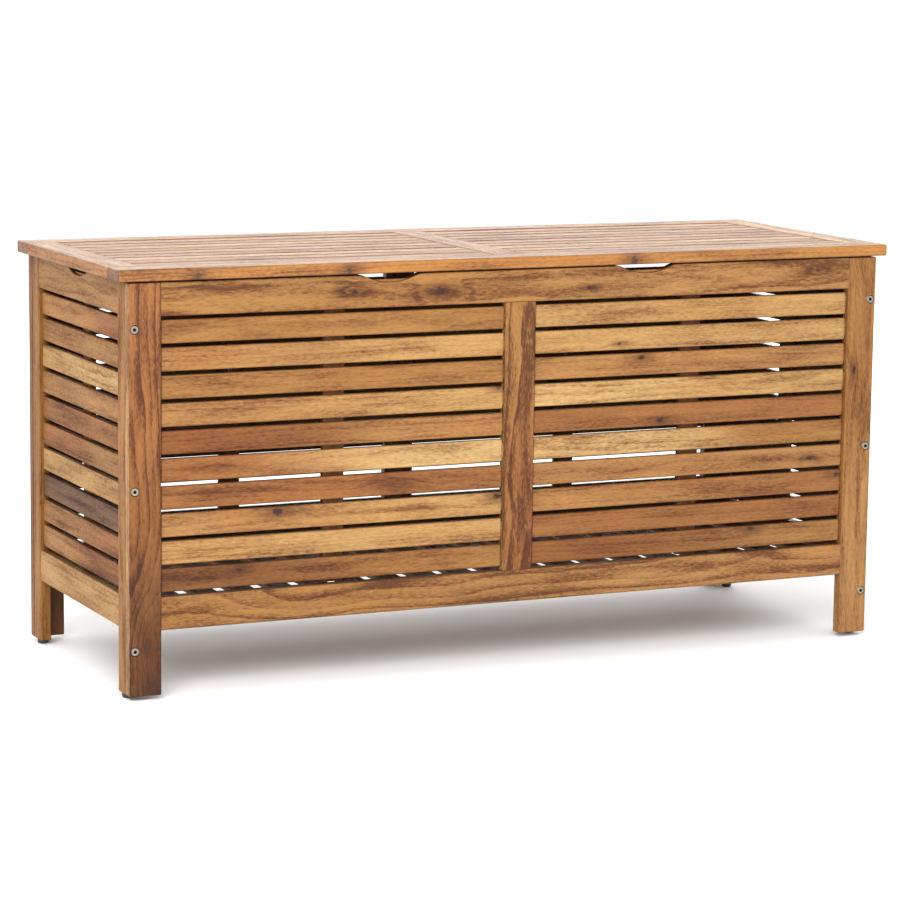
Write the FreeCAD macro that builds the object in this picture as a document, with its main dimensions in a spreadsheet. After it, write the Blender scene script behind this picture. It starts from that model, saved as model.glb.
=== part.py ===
import FreeCAD, Part
import math
import os
import re
import Sketcher

# Garden storage box of slatted hardwood: four framed and slatted walls, a slatted floor on two
# ledgers, and a framed slatted lid on two butt hinges along the rear rail.
# Row frame: +X to the right, -Y to the front, +Z up, origin on the floor under the box's centre.
# Each wall is drawn in its own frame: x along the wall, y inwards from its outer face, z up from
# the leg bottoms. The lid's frame lies down: y is downwards from its top face, z runs rearwards.

Vector = FreeCAD.Vector

SIZES = {
    # overall
    "lid_length": 1300.0,
    "lid_depth": 480.0,
    "overall_height": 640.0,
    "end_overhang": 16.5,        # lid past the body, each end
    "edge_overhang": 4.5,        # lid past the body, front and rear
    "lid_gap": 2.0,              # between the leg tops and the closed lid
    # boards
    "board": 18.0,               # thickness of stiles, posts and rails
    "stile_width": 50.0,
    "post_width": 32.0,
    "rail_width": 50.0,
    "rail_recess": 1.0,          # rails stand this far behind the stile faces
    "bottom_rail_base": 97.0,    # leg bottom to the bottom rails
    "arris": 2.2,                # rounding of the frame boards' edges
    # slats
    "slat_width": 35.0,
    "slat_thick": 10.0,
    "slat_gap": 6.0,             # aimed gap, shared out over each panel
    "slat_recess": 5.5,
    "slat_round": 2.6,
    "slat_shoulder": 1.5,        # open joint line at the slat ends
    # joints in the wood
    "tenon_thick": 8.0,
    "tenon_shoulder": 8.0,
    "tenon_length": 22.0,
    "slat_tenon_thick": 5.0,
    "slat_tenon_width": 22.0,
    "slat_tenon_reach": 9.0,
    "joint_clear": 0.1,          # round a tenon in its mortise
    "joint_depth_clear": 1.0,    # past a tenon's end
    # battens behind the slats
    "batten_width": 35.0,
    "batten_thick": 10.0,
    "batten_clear": 1.0,
    # finger cut-outs
    "cutout_radius": 100.0,
    "cutout_depth": 12.0,
    "cutout_blend": 18.0,
    "cutout_place": 217.5,
    # floor
    "floor_top": 122.0,          # above the leg bottoms
    "floor_pitch": 61.6,
    "ledger_depth": 25.0,
    "ledger_clear": 0.5,
    "floor_clear": 1.0,
    # lid
    "lid_board": 18.0,
    "lid_rail_width": 50.0,
    "lid_slat_thick": 12.0,
    "lid_slat_recess": 0.8,
    "lid_batten_thick": 12.0,
    # feet
    "glide_height": 7.0,
    "glide_diameter": 17.0,
    "glide_round": 2.5,
    # corner bolts and barrel nuts
    "bolt_diameter": 6.0,
    "bolt_clear": 0.2,
    "bolt_head": 12.5,
    "bolt_head_height": 4.0,
    "bolt_chamfer": 0.6,
    "bolt_socket": 5.0,          # across the flats of the hexagon
    "bolt_socket_depth": 2.6,
    "bore_clear": 0.75,          # round the bolt head
    "bore_sink": 0.6,            # bolt head below the face
    "bolt_end_inset": 68.0,      # end bolts from the leg's ends
    "bolt_tail": 4.0,            # thread past the barrel nut
    "nut_diameter": 10.0,
    "nut_length": 14.0,
    "nut_setback": 18.0,
    "nut_clear": 0.1,
    # wood screws
    "screw_diameter": 3.5,
    "screw_head": 7.0,
    "screw_head_height": 2.2,
    "screw_crown": 1.3,          # rounding of the head
    "screw_slot_width": 1.1,     # each arm of the cross
    "screw_slot_length": 3.8,
    "screw_slot_depth": 1.1,
    "screw_bite": 6.0,           # into the second piece
    "screw_clear": 0.1,
    # hinges
    "hinge_length": 60.0,
    "hinge_inset": 190.0,        # lid end to the hinge's middle
    "leaf_thick": 1.4,
    "leaf_width": 28.0,
    "knuckle_radius": 2.2,
    "pin_diameter": 2.2,
    "pin_clear": 0.05,
    "pin_head": 3.4,
    "pin_head_height": 0.8,
    "knuckle_gap": 0.3,
    "leaf_relief": 0.4,
    "hinge_screw": 3.0,
    "hinge_screw_head": 5.4,
    "hinge_screw_length": 13.0,
    "hinge_screw_pitch": 19.8,
    "hinge_screw_reach": 16.8,   # hinge pin to the row of screws
    "hinge_slot_width": 0.8,
    "hinge_slot_depth": 0.6,
}

WORKED = {
    "body_length": "lid_length - 2 * end_overhang",
    "body_depth": "lid_depth - 2 * edge_overhang",
    "leg_length": "overall_height - lid_board - lid_gap - glide_height",
    "front_half": "body_length / 2",
    "side_half": "body_depth / 2 - board",
    "stile_inner": "front_half - stile_width",
    "post_inner": "side_half - post_width",
    "opening_base": "bottom_rail_base + rail_width",
    "opening_top": "leg_length - rail_width",
    "opening": "opening_top - opening_base",
    "wall_count": "round((opening - slat_gap) / (slat_width + slat_gap))",
    "wall_gap": "(opening - wall_count * slat_width) / (wall_count + 1)",
    "wall_pitch": "slat_width + wall_gap",
    "wall_first": "opening_base + wall_gap",
    "bay_half": "(stile_inner - stile_width / 2) / 2",
    "bay_centre": "stile_width / 2 + bay_half",
    "rail_inner": "rail_recess + board",
    "slat_inner": "slat_recess + slat_thick",
    "lid_opening": "lid_depth - 2 * lid_rail_width",
    "lid_count": "round((lid_opening - slat_gap) / (slat_width + slat_gap))",
    "lid_slat_gap": "(lid_opening - lid_count * slat_width) / (lid_count + 1)",
    "lid_pitch": "slat_width + lid_slat_gap",
    "lid_first": "lid_rail_width + lid_slat_gap",
    "lid_side_inner": "lid_length / 2 - lid_rail_width",
    "lid_bay_half": "(lid_side_inner - lid_rail_width / 2) / 2",
    "lid_bay_centre": "lid_rail_width / 2 + lid_bay_half",
    "lid_slat_inner": "lid_slat_recess + lid_slat_thick",
    "floor_room": "body_length - 2 * board - slat_width",
    "floor_count": "floor(floor_room / floor_pitch) + 1",
    "floor_first": "-floor_pitch * (floor_count - 1) / 2",
    "floor_half": "body_depth / 2 - rail_inner - floor_clear",
    "ledger_half": "front_half - board - ledger_clear",
    "ledger_height": "floor_top - slat_thick - bottom_rail_base",
    "floor_screw_place": "body_depth / 2 - rail_inner - ledger_depth / 2",
    "bolt_place": "front_half - board / 2",
    "bolt_low": "bolt_end_inset",
    "bolt_middle": "leg_length / 2",
    "bolt_high": "leg_length - bolt_end_inset",
    "bore_depth": "bolt_head_height + bore_sink",
    "hinge_place": "lid_length / 2 - hinge_inset",
    "hinge_axis_y": "body_depth / 2 - rail_recess + knuckle_radius",
    "hinge_axis_z": "overall_height - lid_board - knuckle_radius",
}

doc = FreeCAD.newDocument("StorageBox")
sheet = doc.addObject("Spreadsheet::Sheet", "Dimensions")
for row, (alias, size) in enumerate(SIZES.items(), start=1):
    sheet.set("A%d" % row, alias)
    sheet.set("B%d" % row, str(size))
    sheet.setAlias("B%d" % row, alias)
doc.recompute()

worked = doc.addObject("App::VarSet", "Worked")
for name in WORKED:
    worked.addProperty("App::PropertyFloat", name)

parts = []


def bound(formula):
    """The formula with each size name given its home in the document."""
    def home(match):
        word = match.group()
        if word in SIZES:
            return "Dimensions." + word
        return "Worked." + word if word in WORKED else word
    return re.sub(r"[a-z_]+", home, formula)


for name, formula in WORKED.items():
    worked.setExpression(name, bound(formula))
doc.recompute()


def size(name):
    """The present number of one named size."""
    return sheet.get(name) if name in SIZES else getattr(worked, name)


# ---- frames -------------------------------------------------------------------------------

UP = Vector(0, 0, 1)
ALONG = Vector(1, 0, 0)
WALLS = {
    "front": (UP, 0, ("0", "-body_depth / 2", "glide_height")),
    "rear": (UP, 180, ("0", "body_depth / 2", "glide_height")),
    "left_side": (UP, -90, ("-front_half", "0", "glide_height")),
    "right_side": (UP, 90, ("front_half", "0", "glide_height")),
    "lid": (ALONG, -90, ("0", "-lid_depth / 2", "overall_height")),
    "box": (UP, 0, ("0", "0", "glide_height")),
    "hinge_left": (UP, 0, ("-hinge_place", "hinge_axis_y", "hinge_axis_z")),
    "hinge_right": (UP, 0, ("hinge_place", "hinge_axis_y", "hinge_axis_z")),
}


def place(piece, wall):
    """Stand a piece in its wall's frame and list it as a part."""
    axis, angle, base = WALLS[wall]
    piece.Placement = FreeCAD.Placement(Vector(), FreeCAD.Rotation(axis, angle))
    for letter, formula in zip("xyz", base):
        piece.setExpression("Placement.Base." + letter, bound(formula))
    parts.append(piece)


def wall_point(wall, x, y, z):
    """A point of a wall's frame, in the row frame, with the turn of that frame."""
    axis, angle, base = WALLS[wall]
    corner = Vector(*(worked.evalExpression(bound(formula)) for formula in base))
    holder = FreeCAD.Placement(corner, FreeCAD.Rotation(axis, angle))
    return holder.multVec(Vector(x, y, z)), holder.Rotation


# ---- sketches and features ----------------------------------------------------------------

def new_body(label):
    body = doc.addObject("PartDesign::Body", label)
    body.Label = label
    body.AllowCompound = True
    return body


def new_sketch(body, name, role, offset="0"):
    """A sketch on one of the body's own planes, moved along its normal."""
    sketch = body.newObject("Sketcher::SketchObject", name)
    plane = [datum for datum in body.Origin.OriginFeatures if datum.Role == role][0]
    sketch.AttachmentSupport = [(plane, "")]
    sketch.MapMode = "FlatFace"
    sketch.setExpression("AttachmentOffset.Base.z", bound(offset))
    return sketch


def tie(sketch, name, kind, element, point, formula, start):
    """One named distance from the sketch's origin, bound to a formula."""
    index = sketch.addConstraint(Sketcher.Constraint(kind, -1, 1, element, point, start))
    sketch.renameConstraint(index, name)
    sketch.setExpression("Constraints." + name, bound(formula))


def draw_rectangle(sketch, left, right, low, high):
    """A rectangle between four distances from the sketch's origin."""
    first = sketch.GeometryCount
    tag = "r%d" % first
    corners = [Vector(-1, -1, 0), Vector(1, -1, 0), Vector(1, 1, 0), Vector(-1, 1, 0)]
    for number in range(4):
        line = Part.LineSegment(corners[number], corners[(number + 1) % 4])
        sketch.addGeometry(line, False)
    for number in range(4):
        after = first + (number + 1) % 4
        sketch.addConstraint(Sketcher.Constraint("Coincident", first + number, 2, after, 1))
        flat = "Horizontal" if number % 2 == 0 else "Vertical"
        sketch.addConstraint(Sketcher.Constraint(flat, first + number))
    tie(sketch, tag + "left", "DistanceX", first, 1, left, -1)
    tie(sketch, tag + "right", "DistanceX", first + 1, 1, right, 1)
    tie(sketch, tag + "low", "DistanceY", first, 1, low, -1)
    tie(sketch, tag + "high", "DistanceY", first + 2, 1, high, 1)


def draw_circle(sketch, across, up, radius):
    """A circle placed by its centre."""
    first = sketch.GeometryCount
    tag = "c%d" % first
    sketch.addGeometry(Part.Circle(Vector(1, 1, 0), UP, 1), False)
    tie(sketch, tag + "across", "DistanceX", first, 3, across, 1)
    tie(sketch, tag + "up", "DistanceY", first, 3, up, 1)
    index = sketch.addConstraint(Sketcher.Constraint("Radius", first, 1))
    sketch.renameConstraint(index, tag + "radius")
    sketch.setExpression("Constraints." + tag + "radius", bound(radius))


def add_pad(body, name, sketch, length, symmetric=False):
    pad = body.newObject("PartDesign::Pad", name)
    pad.Profile = sketch
    pad.SideType = "Symmetric" if symmetric else "One side"
    pad.setExpression("Length", bound(length))
    doc.recompute()
    return pad


def add_pocket(body, name, sketch, depth=None, reverse=False):
    """A cut of the given depth, or through everything both ways; it has to remove something."""
    before = body.Shape.Volume
    pocket = body.newObject("PartDesign::Pocket", name)
    pocket.Profile = sketch
    pocket.Reversed = reverse
    if depth is None:
        pocket.SideType = "Symmetric"
        pocket.Type = "ThroughAll"
    else:
        pocket.setExpression("Length", bound(depth))
    doc.recompute()
    if body.Shape.Volume > before - 0.01:
        raise RuntimeError("%s cuts nothing in %s" % (name, body.Label))
    return pocket


def add_row(body, name, feature, role, pitch, count, whole=False):
    """Repeat a feature, or the whole piece, along one of the body's axes."""
    row = body.newObject("PartDesign::LinearPattern", name)
    axis = [datum for datum in body.Origin.OriginFeatures if datum.Role == role][0]
    row.TransformMode = "Whole shape" if whole else "Features"
    row.Originals = [feature]
    row.Direction = (axis, [""])
    row.Mode = "Extent"
    row.setExpression("Length", bound("(%s) * (%s - 1)" % (pitch, count)))
    row.setExpression("Occurrences", bound(count))
    body.Tip = row
    doc.recompute()
    return row


def add_fillet(body, name, base, keep, radius):
    """Round the edges of the base feature that pass the test."""
    names = ["Edge%d" % (number + 1) for number, edge in enumerate(base.Shape.Edges) if keep(edge)]
    fillet = body.newObject("PartDesign::Fillet", name)
    fillet.Base = (base, names)
    fillet.setExpression("Radius", bound(radius))
    doc.recompute()
    return fillet


def every_edge(edge):
    return True


def runs_along(letter):
    """A test for straight edges parallel to x, y or z."""
    others = [axis for axis in "xyz" if axis != letter]

    def keep(edge):
        ends = [vertex.Point for vertex in edge.Vertexes]
        return len(ends) == 2 and all(
            abs(getattr(ends[0], axis) - getattr(ends[1], axis)) < 1e-6 for axis in others)
    return keep


# ---- wooden pieces ------------------------------------------------------------------------

def signed(hand, formula):
    return formula if hand > 0 else "-(%s)" % formula


def span(hand, near, far):
    """Near and far formulas in rising order for the right (+1) or left (-1) hand."""
    return (near, far) if hand > 0 else (signed(hand, far), signed(hand, near))


def tenon_band(recess, board):
    """Low and high face of a rail tenon across the board's thickness."""
    low = "%s + (%s - tenon_thick) / 2" % (recess, board)
    return low, low + " + tenon_thick"


def slat_mortises(body, tag, offset, reverse, recess, thick, first, pitch, count):
    """A row of mortises for slat tenons on a face square to x."""
    low = "%s + (%s - slat_tenon_thick) / 2" % (recess, thick)
    base = "%s + (slat_width - slat_tenon_width) / 2" % first
    sketch = new_sketch(body, "SlatMortise" + tag, "YZ_Plane", offset)
    draw_rectangle(sketch, low + " - joint_clear", low + " + slat_tenon_thick + joint_clear",
                   base + " - joint_clear", base + " + slat_tenon_width + joint_clear")
    pocket = add_pocket(body, "SlatMortiseCut" + tag, sketch,
                        "slat_tenon_reach + joint_depth_clear", reverse)
    add_row(body, "SlatMortiseRow" + tag, pocket, "Z_Axis", pitch, count)


def rail_mortise(body, tag, offset, reverse, bases):
    """Mortises for the rails' tenons on a face square to x."""
    low, high = tenon_band("rail_recess", "board")
    sketch = new_sketch(body, "RailMortise" + tag, "YZ_Plane", offset)
    for base in bases:
        draw_rectangle(sketch, low + " - joint_clear", high + " + joint_clear",
                       base + " + tenon_shoulder - joint_clear",
                       base + " + rail_width - tenon_shoulder + joint_clear")
    add_pocket(body, "RailMortiseCut" + tag, sketch, "tenon_length + joint_depth_clear", reverse)


def leg_board(label, wall, hand, inner, outer):
    """One full-height board at the end of a wall, mortised on its inner edge."""
    body = new_body(label)
    outline = new_sketch(body, "Outline", "XY_Plane")
    draw_rectangle(outline, *span(hand, inner, outer), "0", "board")
    pad = add_pad(body, "Board", outline, "leg_length")
    add_fillet(body, "Arris", pad, every_edge, "arris")
    face = signed(hand, inner)
    rail_mortise(body, "", face, hand > 0, ("bottom_rail_base", "opening_top"))
    slat_mortises(body, "", face, hand > 0, "slat_recess", "slat_thick",
                  "wall_first", "wall_pitch", "wall_count")
    place(body, wall)
    return body


def stile(label, wall, hand):
    """Corner stile of the front or rear wall, bored for the corner bolts."""
    body = leg_board(label, wall, hand, "stile_inner", "front_half")
    for name, radius, depth in (("Bolt", "bolt_diameter / 2 + bolt_clear", None),
                                ("Head", "bolt_head / 2 + bore_clear", "bore_depth")):
        sketch = new_sketch(body, name + "Circles", "XZ_Plane")
        for height in ("bolt_low", "bolt_middle", "bolt_high"):
            draw_circle(sketch, signed(hand, "bolt_place"), height, radius)
        add_pocket(body, name + "Bores", sketch, depth)


def post(label, wall, hand):
    """Side wall's post behind a corner stile, with the bolt and barrel nut holes."""
    body = leg_board(label, wall, hand, "post_inner", "side_half")
    bolts = new_sketch(body, "BoltCircles", "YZ_Plane", signed(hand, "side_half"))
    nuts = new_sketch(body, "NutCircles", "XZ_Plane", "-board")
    for height in ("bolt_low", "bolt_middle", "bolt_high"):
        draw_circle(bolts, "board / 2", height, "bolt_diameter / 2 + bolt_clear")
        draw_circle(nuts, signed(hand, "side_half - nut_setback"), height,
                    "nut_diameter / 2 + nut_clear")
    add_pocket(body, "BoltBores", bolts, "nut_setback + nut_diameter / 2 + bolt_tail", hand < 0)
    add_pocket(body, "NutBores", nuts, "nut_length + nut_clear", True)


def wall_rail(label, wall, half, low, cutouts=(), middle=None):
    """Rail with a tenon at each end; cutouts are finger grips in its upper edge."""
    body = new_body(label)
    outline = new_sketch(body, "Outline", "YZ_Plane")
    draw_rectangle(outline, "rail_recess", "rail_inner", low, low + " + rail_width")
    base = add_pad(body, "Board", outline, "2 * (%s)" % half, symmetric=True)
    top = size("leg_length")
    if cutouts:
        grips = new_sketch(body, "GripCircles", "XZ_Plane")
        for across in cutouts:
            draw_circle(grips, across, "leg_length + cutout_radius - cutout_depth",
                        "cutout_radius")
        cut = add_pocket(body, "Grips", grips)
        inside_ends = size(half) - 1
        crosses_top = runs_along("y")
        base = add_fillet(body, "GripBlend", cut,
                          lambda edge: crosses_top(edge) and edge.CenterOfMass.z > top - 0.01
                          and abs(edge.CenterOfMass.x) < inside_ends, "cutout_blend")
    stands = runs_along("z")
    crosses = runs_along("y")
    add_fillet(body, "Arris", base,
               lambda edge: not stands(edge) and not crosses(edge), "arris")
    tenon = new_sketch(body, "TenonOutline", "YZ_Plane")
    draw_rectangle(tenon, *tenon_band("rail_recess", "board"), low + " + tenon_shoulder",
                   low + " + rail_width - tenon_shoulder")
    add_pad(body, "Tenons", tenon, "2 * (%s + tenon_length)" % half, symmetric=True)
    if middle:
        thin, thick = tenon_band("rail_recess", "board")
        wide = "stile_width / 2 - tenon_shoulder + joint_clear"
        sketch = new_sketch(body, "MiddleMortise", "XY_Plane",
                            "opening_base" if middle == "above" else "opening_top")
        draw_rectangle(sketch, "-(%s)" % wide, wide, thin + " - joint_clear",
                       thick + " + joint_clear")
        add_pocket(body, "MiddleMortiseCut", sketch, "tenon_length + joint_depth_clear",
                   middle == "below")
    place(body, wall)
    return body


def upright(label, wall, left, right, recess, thick, low, high, faces, slats):
    """Board between two rails with a tenon at each end and slat mortises on its faces."""
    body = new_body(label)
    outline = new_sketch(body, "Outline", "XY_Plane", low)
    draw_rectangle(outline, left, right, recess, "%s + %s" % (recess, thick))
    pad = add_pad(body, "Board", outline, "%s - (%s)" % (high, low))
    add_fillet(body, "Arris", pad, runs_along("z"), "arris")
    thin, wide = tenon_band(recess, thick)
    tenon = new_sketch(body, "TenonOutline", "XY_Plane", "%s - tenon_length" % low)
    draw_rectangle(tenon, left + " + tenon_shoulder", right + " - tenon_shoulder", thin, wide)
    add_pad(body, "Tenons", tenon, "%s - (%s) + 2 * tenon_length" % (high, low))
    for tag, (offset, reverse) in zip(("A", "B"), faces):
        slat_mortises(body, tag, offset, reverse, *slats)
    place(body, wall)
    return body


def slat_bank(label, wall, centre, half, recess, thick, first, pitch, count):
    """A bank of equal slats with rounded edges and a stub tenon at each end."""
    body = new_body(label)
    outline = new_sketch(body, "Outline", "YZ_Plane", centre)
    draw_rectangle(outline, recess, "%s + %s" % (recess, thick), first, first + " + slat_width")
    pad = add_pad(body, "Slat", outline, "2 * (%s - slat_shoulder)" % half, symmetric=True)
    add_fillet(body, "Rounding", pad, every_edge, "slat_round")
    low = "%s + (%s - slat_tenon_thick) / 2" % (recess, thick)
    base = "%s + (slat_width - slat_tenon_width) / 2" % first
    tenon = new_sketch(body, "TenonOutline", "YZ_Plane", centre)
    draw_rectangle(tenon, low, low + " + slat_tenon_thick", base, base + " + slat_tenon_width")
    add_pad(body, "Tenons", tenon, "2 * (%s + slat_tenon_reach)" % half, symmetric=True)
    screw = new_sketch(body, "ScrewCircle", "XZ_Plane", "-(%s + %s)" % (recess, thick))
    draw_circle(screw, centre, first + " + slat_width / 2", "screw_diameter / 2 + screw_clear")
    hole = add_pocket(body, "ScrewHole", screw, "screw_bite + screw_clear", True)
    add_row(body, "Bank", hole, "Z_Axis", pitch, count, whole=True)
    place(body, wall)
    return body


def batten(label, wall, centre, face, thick, low, high, first, pitch, count):
    """Inner batten that ties a bank of slats together, drilled for one screw a slat."""
    body = new_body(label)
    outline = new_sketch(body, "Outline", "XY_Plane", low + " + batten_clear")
    draw_rectangle(outline, "%s - batten_width / 2" % centre, "%s + batten_width / 2" % centre,
                   face, "%s + %s" % (face, thick))
    pad = add_pad(body, "Strip", outline, "%s - (%s) - 2 * batten_clear" % (high, low))
    add_fillet(body, "Rounding", pad, every_edge, "arris")
    screw = new_sketch(body, "ScrewCircle", "XZ_Plane")
    draw_circle(screw, centre, first + " + slat_width / 2", "screw_diameter / 2 + screw_clear")
    hole = add_pocket(body, "ScrewHole", screw)
    add_row(body, "ScrewRow", hole, "Z_Axis", pitch, count)
    place(body, wall)
    return body


WALL_SLATS = ("slat_recess", "slat_thick", "wall_first", "wall_pitch", "wall_count")
LID_SLATS = ("lid_slat_recess", "lid_slat_thick", "lid_first", "lid_pitch", "lid_count")


def long_wall(wall):
    """Front or rear wall: two bays of slats either side of a middle stile."""
    grips = ("-cutout_place", "cutout_place") if wall == "front" else ()
    stile(wall + "_stile_left", wall, -1)
    stile(wall + "_stile_right", wall, 1)
    wall_rail(wall + "_bottom_rail", wall, "stile_inner", "bottom_rail_base", (), "above")
    top_rail = wall_rail(wall + "_top_rail", wall, "stile_inner", "opening_top", grips, "below")
    upright(wall + "_centre_stile", wall, "-stile_width / 2", "stile_width / 2", "rail_recess",
            "board", "opening_base", "opening_top",
            (("stile_width / 2", False), ("-stile_width / 2", True)), WALL_SLATS)
    for side, sign in (("left", -1), ("right", 1)):
        centre = signed(sign, "bay_centre")
        slat_bank("%s_slats_%s" % (wall, side), wall, centre, "bay_half", *WALL_SLATS)
        batten("%s_batten_%s" % (wall, side), wall, centre, "slat_inner", "batten_thick",
               "opening_base", "opening_top", "wall_first", "wall_pitch", "wall_count")
    return top_rail


def short_wall(wall):
    """Side wall: one bay of slats between two posts."""
    stile_names = {"left_side": ("rear", "front"), "right_side": ("front", "rear")}[wall]
    post("%s_post_%s" % (wall, stile_names[0]), wall, -1)
    post("%s_post_%s" % (wall, stile_names[1]), wall, 1)
    wall_rail(wall + "_bottom_rail", wall, "post_inner", "bottom_rail_base")
    wall_rail(wall + "_top_rail", wall, "post_inner", "opening_top", ("0",))
    slat_bank(wall + "_slats", wall, "0", "post_inner", *WALL_SLATS)
    batten(wall + "_batten", wall, "0", "slat_inner", "batten_thick",
           "opening_base", "opening_top", "wall_first", "wall_pitch", "wall_count")


def floor_pieces():
    """Two ledgers on the bottom rails and the floor slats that lie across them."""
    for wall in ("front", "rear"):
        body = new_body("floor_ledger_" + wall)
        outline = new_sketch(body, "Outline", "YZ_Plane")
        draw_rectangle(outline, "rail_inner", "rail_inner + ledger_depth", "bottom_rail_base",
                       "bottom_rail_base + ledger_height")
        pad = add_pad(body, "Strip", outline, "2 * ledger_half", symmetric=True)
        add_fillet(body, "Rounding", pad, every_edge, "arris")
        screw = new_sketch(body, "ScrewCircle", "XY_Plane", "bottom_rail_base + ledger_height")
        draw_circle(screw, "floor_first", "rail_inner + ledger_depth / 2",
                    "screw_diameter / 2 + screw_clear")
        hole = add_pocket(body, "ScrewHole", screw, "screw_bite + screw_clear")
        add_row(body, "ScrewRow", hole, "X_Axis", "floor_pitch", "floor_count")
        place(body, wall)
    body = new_body("floor_slats")
    outline = new_sketch(body, "Outline", "XZ_Plane")
    draw_rectangle(outline, "floor_first - slat_width / 2", "floor_first + slat_width / 2",
                   "floor_top - slat_thick", "floor_top")
    pad = add_pad(body, "Slat", outline, "2 * floor_half", symmetric=True)
    add_fillet(body, "Rounding", pad, every_edge, "slat_round")
    screws = new_sketch(body, "ScrewCircles", "XY_Plane", "floor_top")
    for across in ("-floor_screw_place", "floor_screw_place"):
        draw_circle(screws, "floor_first", across, "screw_diameter / 2 + screw_clear")
    holes = add_pocket(body, "ScrewHoles", screws)
    add_row(body, "Bank", holes, "X_Axis", "floor_pitch", "floor_count", whole=True)
    place(body, "box")


def lid_long_rail(label, low, mortised_at, reverse):
    """Front or rear rail of the lid, full length, mortised for the three cross rails."""
    body = new_body(label)
    outline = new_sketch(body, "Outline", "YZ_Plane")
    draw_rectangle(outline, "0", "lid_board", low, low + " + lid_rail_width")
    pad = add_pad(body, "Board", outline, "lid_length", symmetric=True)
    add_fillet(body, "Arris", pad, every_edge, "arris")
    thin, thick = tenon_band("0", "lid_board")
    sketch = new_sketch(body, "Mortises", "XY_Plane", mortised_at)
    spans = (("-lid_length / 2", "-lid_side_inner"), ("lid_side_inner", "lid_length / 2"),
             ("-lid_rail_width / 2", "lid_rail_width / 2"))
    for left, right in spans:
        draw_rectangle(sketch, left + " + tenon_shoulder - joint_clear",
                       right + " - tenon_shoulder + joint_clear",
                       thin + " - joint_clear", thick + " + joint_clear")
    add_pocket(body, "MortiseCut", sketch, "tenon_length + joint_depth_clear", reverse)
    return body


def lid_pieces():
    """Framed lid: two long rails, three cross rails, two banks of slats and their battens."""
    front_rail = lid_long_rail("lid_front_rail", "0", "lid_rail_width", False)
    rear_rail = lid_long_rail("lid_rear_rail", "lid_depth - lid_rail_width",
                              "lid_depth - lid_rail_width", True)
    place(front_rail, "lid")
    half = "lid_rail_width / 2"
    cross_rails = {
        "left": ("-lid_length / 2", "-lid_side_inner", (("-lid_side_inner", False),)),
        "right": ("lid_side_inner", "lid_length / 2", (("lid_side_inner", True),)),
        "centre": ("-" + half, half, ((half, False), ("-" + half, True))),
    }
    for side, (left, right, faces) in cross_rails.items():
        upright("lid_%s_rail" % side, "lid", left, right, "0", "lid_board", "lid_rail_width",
                "lid_depth - lid_rail_width", faces, LID_SLATS)
    for side, sign in (("left", -1), ("right", 1)):
        centre = signed(sign, "lid_bay_centre")
        slat_bank("lid_slats_" + side, "lid", centre, "lid_bay_half", *LID_SLATS)
        batten("lid_batten_" + side, "lid", centre, "lid_slat_inner", "lid_batten_thick",
               "lid_rail_width", "lid_depth - lid_rail_width",
               "lid_first", "lid_pitch", "lid_count")
    return rear_rail


# ---- hinges -------------------------------------------------------------------------------

KNUCKLES = 5
HINGE_SCREWS = (-1, 0, 1)


def knuckle_span(number):
    """Formulas for the ends of one knuckle along the hinge."""
    return ("hinge_length * (%d / %d - 0.5)" % (number, KNUCKLES),
            "hinge_length * (%d / %d - 0.5)" % (number + 1, KNUCKLES))


def hinge_leaf(label, wall, on_lid):
    """A leaf with its own knuckles, cleared round the other leaf's knuckles."""
    body = new_body(label)
    plate = new_sketch(body, "PlateOutline", "YZ_Plane")
    if on_lid:
        draw_rectangle(plate, "-leaf_width", "0", "knuckle_radius - leaf_thick",
                       "knuckle_radius")
    else:
        draw_rectangle(plate, "-knuckle_radius", "leaf_thick - knuckle_radius",
                       "-leaf_width", "0")
    add_pad(body, "Plate", plate, "hinge_length", symmetric=True)
    barrel = new_sketch(body, "BarrelOutline", "YZ_Plane")
    draw_circle(barrel, "0", "0", "knuckle_radius")
    add_pad(body, "Barrel", barrel, "hinge_length", symmetric=True)
    notches = new_sketch(body, "NotchOutline", "XY_Plane" if on_lid else "XZ_Plane")
    for number in range(0 if on_lid else 1, KNUCKLES, 2):
        left, right = knuckle_span(number)
        near = "" if number == 0 else " - knuckle_gap"
        far = "" if number == KNUCKLES - 1 else " + knuckle_gap"
        draw_rectangle(notches, left + near, right + far,
                       "-knuckle_radius - leaf_relief", "knuckle_radius + leaf_relief")
    add_pocket(body, "Notches", notches)
    bore = new_sketch(body, "BoreCircle", "YZ_Plane")
    draw_circle(bore, "0", "0", "pin_diameter / 2 + pin_clear")
    add_pocket(body, "Bore", bore)
    holes = new_sketch(body, "ScrewCircles", "XY_Plane" if on_lid else "XZ_Plane")
    for number in HINGE_SCREWS:
        draw_circle(holes, "hinge_screw_pitch * %d" % number, "-hinge_screw_reach",
                    "hinge_screw / 2 + screw_clear")
    drilled = add_pocket(body, "ScrewHoles", holes)
    outer = size("knuckle_radius") - size("leaf_thick")
    depth = -size("knuckle_radius") + size("leaf_thick")

    def rim(edge):
        """The hole rims on the side that the screw heads sit in."""
        if len(edge.Vertexes) != 1:
            return False
        centre = edge.CenterOfMass
        return abs(centre.z - outer) < 1e-3 if on_lid else abs(centre.y - depth) < 1e-3
    names = ["Edge%d" % (number + 1) for number, edge in enumerate(drilled.Shape.Edges)
             if rim(edge)]
    sink = body.newObject("PartDesign::Chamfer", "Countersinks")
    sink.Base = (drilled, names)
    sink.setExpression("Size", bound("(hinge_screw_head - hinge_screw) / 2 - screw_clear / 2"))
    doc.recompute()
    place(body, wall)


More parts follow.
